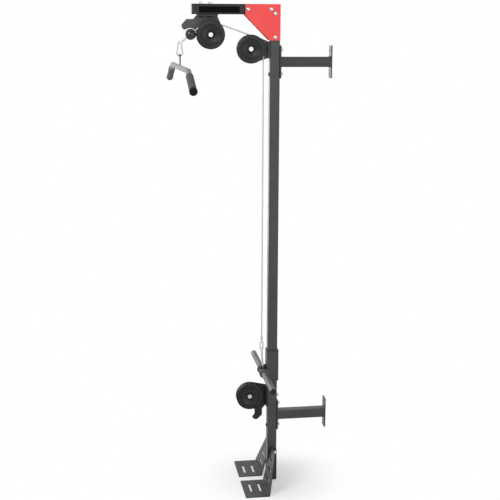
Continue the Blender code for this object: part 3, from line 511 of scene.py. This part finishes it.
def wheel_side():
    """Half section of the wheel, from its bore over its face to the flange's inner edge."""
    seat = HUB_SEAT[-1]
    side = list(HUB_SEAT)
    side += arc((seat[0] + HUB_EDGE, seat[1]), HUB_EDGE, 180, 105, 3)
    side += DISH
    side += arc((FACE_START, WHEEL_HALF - FACE_EDGE), FACE_EDGE, 180, 90, 4)
    side += zip(RING_GROOVE, (WHEEL_HALF, WHEEL_HALF - RING_DEPTH, WHEEL_HALF - RING_DEPTH, WHEEL_HALF))
    side += [(FACE_END, WHEEL_HALF - FACE_FALL)]
    side += arc(LIP, LIP_EDGE, 80, 0, 5)
    side += arc(FLANGE, FLANGE_EDGE, 0, -50, 3)
    return side


def wheel_groove():
    """Points of the cable's groove, from the flange down to its middle."""
    turn = CABLE_TURN / MM
    groove = (CABLE_RADIUS + GAP) / MM
    return [(turn - groove * sin(radians(a)), groove * cos(radians(a))) for a in GROOVE_DEGREES]


def build_wheel(name, centre, level):
    """Finely turned wheel in place of the plain one."""
    outline = wheel_side() + wheel_groove()
    outline += [(radius, -height) for radius, height in reversed(outline[:-1])]
    places = []
    for i in range(WHEEL_STEPS):
        angle = 2 * pi * i / WHEEL_STEPS
        for radius, height in outline:
            places.append(centre + Vector((height, radius * cos(angle), radius * sin(angle))) * MM)
    count = len(outline)
    faces = []
    for i in range(WHEEL_STEPS):
        j = (i + 1) % WHEEL_STEPS
        for k in range(count):
            n = (k + 1) % count
            faces.append((i * count + k, j * count + k, j * count + n, i * count + n))
    made = mesh_piece(name + "_wheel", places, faces, moulded_with_painted_shade(name + "_wheel_nylon_painted_shade", centre, level))
    made.data.set_sharp_from_angle(angle=WHEEL_SHARP)
    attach(made, name + "_wheel")
    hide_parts(name + "_pulley")


def bead(name, route, body, closed=False, radius=BEAD):
    """Rippled weld bead along a route."""
    points, step = even(route, BEAD_STEP, closed)
    places = []
    for i, (point, ahead) in enumerate(zip(points, directions(points, closed))):
        side = ahead.orthogonal().normalized()
        if abs(ahead.x) < 0.9:
            side = ahead.cross(Vector((1, 0, 0))).normalized()
        up = ahead.cross(side)
        swell = 1 + BEAD_SWELL * sin(2 * pi * i * step / BEAD_RIPPLE)
        end = BEAD_END if not closed and i in (0, len(points) - 1) else 1
        for k in range(BEAD_POINTS):
            angle = 2 * pi * k / BEAD_POINTS
            places.append(point + (side * cos(angle) + up * sin(angle)) * radius * swell * end)
    made = mesh_piece(name, places, skin(len(points), BEAD_POINTS, closed), GRAPHITE)
    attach(made, body)


def rounded(half_wide, half_tall, corner, steps):
    """Outline of a rectangle with rounded corners about its centre, as pairs."""
    outline = []
    for quarter in range(4):
        wide = (half_wide - corner) * (1 if quarter in (0, 3) else -1)
        tall = (half_tall - corner) * (1 if quarter in (0, 1) else -1)
        for i in range(steps + 1):
            angle = (quarter + i / steps) * pi / 2
            outline.append((wide + corner * cos(angle), tall + corner * sin(angle)))
    return outline


def build_welds():
    """Beads at both ends of the wall bracket tubes, at the loading bar and in the foot brackets."""
    ends = (("post", TUBE_HALF + GAP + BRACKET_PLATE + BRACKET_BEAD_OUT),
            ("wall", WALL_FACE - BRACKET_PLATE - BRACKET_BEAD_OUT))
    loop = rounded(TUBE_HALF, TUBE_HALF, TUBE_CORNER, 3)
    for name, level in BRACKET_LEVELS:
        for end, y in ends:
            route = [Vector((x, y, level + z)) for x, z in loop]
            bead(name + "_" + end + "_weld", route, "frame", True)
    for name, side in (("top", 1), ("bottom", -1)):
        start = Vector((-BAR_BEAD_HALF, SLEEVE_FACE - BAR_BEAD_OUT, LOADING_BAR_UP + side * BAR_BEAD_UP))
        end = Vector((BAR_BEAD_HALF, start.y, start.z))
        bead("bar_" + name + "_weld", [start, end], "carriage")
    for name, side in (("right", 1), ("left", -1)):
        y = -FOOT_BACK - FOOT_BEAD_IN
        route = [Vector((side * x, y, FOOT_BEAD_IN)) for x in FOOT_BEAD_ENDS]
        bead(name + "_foot_weld", route, "frame", radius=FOOT_BEAD)


def build_label():
    """Bare black plate on the arm's near side."""
    half_y, half_z = LABEL_SIZE[0] / 2, LABEL_SIZE[1] / 2
    rim = rounded(half_y, half_z, LABEL_CORNER, 4)
    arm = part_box("top_arm")[1].x
    layers = ((0, 0), (LABEL_THICK * LABEL_EDGE_START, 0), (LABEL_THICK, LABEL_EDGE))
    places = []
    for out, shrink in layers:
        for y, z in rim:
            places.append((arm + out, LABEL_CENTRE[0] + y * (1 - shrink / half_y),
                           LABEL_CENTRE[1] + z * (1 - shrink / half_z)))
    made = mesh_piece("label_plate", places, skin(len(layers), len(rim)), LABEL, smooth=False)
    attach(made, "frame")


def paint_nodes():
    """Finish of every CAD node."""
    by_slot = {
        "frame_paint": GRAPHITE, "red_paint": RED, "black_plastic": BLACK, "zinc": ZINC,
        "cable_cover": ROPE_WITH_GROOVE_SHADE, "chrome": CHROME, "silver_paint": SILVER, "rubber": BLACK,
        "dark_grey_paint": DARK_GREY, "black_paint": BLACK_PAINT,
    }
    for part in frame["record"]["subparts"]:
        wear(part["node"], by_slot[part["material_slot"]])
    for name, centre in (("front", FRONT_PULLEY), ("mid", MID_PULLEY), ("low", LOW_PULLEY)):
        build_wheel(name, centre, LOW_WHEEL_SHADE if name == "low" else 1)
        wear(name + "_bearing", sealed_bearing(name + "_seal", centre))
    # Darker copies of the graphite coat as painted shade on the low pulley bracket, the arm, the upper
    # wall bracket and the foot brackets
    for name, material in (
            ("ball_stop", GLOSS_BLACK), ("low_pulley_bracket", SHADED_DARK_GRAPHITE), ("top_arm", SHADED_DARK_GRAPHITE),
            ("upper_wall_bracket", UPPER_SHADED_GRAPHITE), ("right_bar_end_cap", CAP), ("left_bar_end_cap", CAP),
            ("right_foot_bracket", FOOT_SHADED_GRAPHITE), ("left_foot_bracket", FOOT_SHADED_GRAPHITE)):
        wear(name, material)
    paint_brackets_and_bolts()
    for side, name in ((1, "right_grip"), (-1, "left_grip")):
        outward = Vector((side * cos(ARM_DROP), 0, -sin(ARM_DROP)))
        wear(name, grip_rubber(name + "_rubber", grip_cap_start(name, outward), outward))


def paint_brackets_and_bolts():
    """Finish of the upper pulley brackets, painted light on their bodies and painted shade past their
    folds, and of the bolts with darkened heads, painted shade where they sit under the arm.
    """
    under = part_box("top_arm")[0].z
    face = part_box("post")[0].y
    # Painted light on the bracket bodies, lighter than the frame's graphite, and painted shade near black
    # against the arm and the post
    wear("front_pulley_bracket",
         light_and_shade_coat("front_bracket_light_and_shade", (0, 0, under - BRACKET_SHADE_BAND), (0, 0, 1), 0.070, 0.006))
    wear("mid_pulley_bracket",
         light_and_shade_coat("mid_bracket_light_and_shade", (0, face - BRACKET_SHADE_BAND, 0), (0, 1, 0), 0.085, 0.004))
    ends = dark_headed("dark_ended_zinc", (0, face, 0), (0, 1, 0), 0.02, 0.5)
    # Painted shade: bolt heads under the arm are near black
    heads = dark_headed("zinc_painted_shade_head", (0, 0, under), (0, 0, 1), 0.03, 0.55)
    for i in range(1, 5):
        wear(f"wall_bracket_bolt_{i}", ends)
    for i, material in enumerate((heads, heads, ends), 1):
        wear(f"pulley_bracket_bolt_{i}", material)


def grip_cap_start(name, outward):
    """Point where the grip's wider end cap begins, a cap's depth inside its farthest point."""
    places = [v.co for v in frame["nodes"][name].data.vertices]
    far = max(place.dot(outward) for place in places)
    return outward * (far - GRIP_CAP)


def build_stage():
    """Pale floor, plain surround, soft lamps."""
    world = bpy.data.worlds.new("studio")
    bpy.context.scene.world = world
    world.use_nodes = True
    world.node_tree.nodes.clear()
    mix = add(world, "ShaderNodeMixShader")
    output = add(world, "ShaderNodeOutputWorld")
    link(world, seen_directly(world), mix.inputs["Fac"])
    for i, strength in enumerate((AMBIENT, BACKDROP), 1):
        background = add(world, "ShaderNodeBackground", Color=(1, 1, 1, 1), Strength=strength)
        link(world, background.outputs["Background"], mix.inputs[i])
    link(world, mix.outputs["Shader"], output.inputs["Surface"])
    build_floor()
    for lamp_facts in LAMPS:
        lamp(*lamp_facts)


def lamp(name, place, size, power):
    """Square soft lamp that faces the middle of the machine."""
    light = bpy.data.lights.new(name, "AREA")
    light.size = size
    light.energy = power
    made = bpy.data.objects.new(name, light)
    made.location = place
    made.visible_camera = False
    made.rotation_euler = (LAMP_AIM - Vector(place)).to_track_quat("-Z", "Y").to_euler()
    bpy.context.scene.collection.objects.link(made)


def seen_directly(owner):
    """1 for what the camera sees, straight, mirrored or through glass, and 0 for light on the machine."""
    path = add(owner, "ShaderNodeLightPath").outputs
    either = maths(owner, "MAXIMUM", path["Is Camera Ray"], path["Is Glossy Ray"])
    return maths(owner, "MAXIMUM", either, path["Is Transmission Ray"])


def build_floor():
    """White floor: it takes the machine's shadow close by and fades to plain white farther out."""
    far = FLOOR_HALF
    points = [(x, y, FLOOR_LEVEL) for x, y in ((-far, -far), (far, -far), (far, far), (-far, far))]
    made, shader = shade("floor_white", grey(0.90), 0.9, specular=0)
    glow = add(made, "ShaderNodeEmission", Strength=1.0)
    fade = add(made, "ShaderNodeMapRange")
    fade.interpolation_type = "SMOOTHSTEP"
    for socket, value in zip(("From Min", "From Max", "To Min", "To Max"), FLOOR_FADE):
        fade.inputs[socket].default_value = value
    link(made, vector_maths(made, "LENGTH", place_on(made), result="Value"), fade.inputs["Value"])
    share = maths(made, "MULTIPLY", fade.outputs["Result"], seen_directly(made))
    mix = add(made, "ShaderNodeMixShader")
    output = made.node_tree.nodes["Material Output"]
    link(made, share, mix.inputs["Fac"])
    link(made, shader.outputs["BSDF"], mix.inputs[1])
    link(made, glow.outputs["Emission"], mix.inputs[2])
    link(made, mix.outputs["Shader"], output.inputs["Surface"])
    mesh_piece("floor", points, [(0, 1, 2, 3)], made, smooth=False)


def build_camera():
    """Camera that stands where the photograph was taken."""
    data = bpy.data.cameras.new("camera")
    data.sensor_width = CAMERA_SENSOR
    data.lens = CAMERA_LENS
    made = bpy.data.objects.new("camera", data)
    back = CAMERA_RIGHT.cross(CAMERA_UP)
    turn = Matrix((CAMERA_RIGHT, CAMERA_UP, back)).transposed()
    made.matrix_world = Matrix.Translation(CAMERA_AT) @ turn.to_4x4()
    bpy.context.scene.collection.objects.link(made)
    bpy.context.scene.camera = made


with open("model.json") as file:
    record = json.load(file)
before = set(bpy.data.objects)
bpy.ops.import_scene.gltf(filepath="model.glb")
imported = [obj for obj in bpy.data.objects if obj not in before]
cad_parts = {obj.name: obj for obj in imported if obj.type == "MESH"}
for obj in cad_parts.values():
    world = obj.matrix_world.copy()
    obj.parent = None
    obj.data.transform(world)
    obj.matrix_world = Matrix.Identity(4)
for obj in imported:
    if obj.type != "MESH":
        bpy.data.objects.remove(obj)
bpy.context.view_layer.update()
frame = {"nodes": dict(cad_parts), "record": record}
bpy.context.scene.view_settings.view_transform = "Standard"

GRAPHITE = powder_coat(
    "graphite_powder", (0.034, 0.034, 0.035), (0.042, 0.042, 0.043), 0.36, specular=0.36)
# Darker copies of the graphite powder coat, as painted shade: on the upper wall bracket, on the foot
# brackets, and on the arm and the low pulley bracket
UPPER_SHADED_GRAPHITE = powder_coat(
    "upper_graphite_painted_shade", (0.025, 0.025, 0.026), (0.031, 0.031, 0.032), 0.38, specular=0.33)
FOOT_SHADED_GRAPHITE = powder_coat(
    "foot_graphite_painted_shade", (0.020, 0.020, 0.021), (0.027, 0.027, 0.028), 0.40, specular=0.30)
SHADED_DARK_GRAPHITE = powder_coat("dark_graphite_painted_shade", grey(0.016), grey(0.022), 0.40, specular=0.20)
DARK_GREY = powder_coat("dark_grey_powder", grey(0.08), grey(0.11), 0.40, 0.05 * MM, 0.15)
RED = powder_coat("red_powder", (0.74, 0.050, 0.048), (0.82, 0.062, 0.060), 0.34, 0.06 * MM, 0.35)
SILVER = powder_coat("silver_powder", grey(0.24), grey(0.28), 0.55, 0.01 * MM, 0.04)
BLACK_PAINT = powder_coat("black_paint", (0.012, 0.012, 0.013), (0.020, 0.020, 0.021), 0.35, 0.05 * MM)
BLACK = plastic("black_nylon")
GLOSS_BLACK = plastic("gloss_black", 0.010, 0.16)
LABEL = plastic("label_black", 0.002, 0.5, 0.04)
CAP = plastic("cap_black", 0.006, 0.4, 0.25)
ZINC = plated("zinc_plating", 0.55, 0.34)
CHROME = plated("polished_steel", 0.50, 0.20)
ROPE_WITH_GROOVE_SHADE = rope_steel_groove_shade("steel_rope_groove_shade")

build_camera()
build_stage()
paint_nodes()
build_ropes()
build_welds()
build_label()
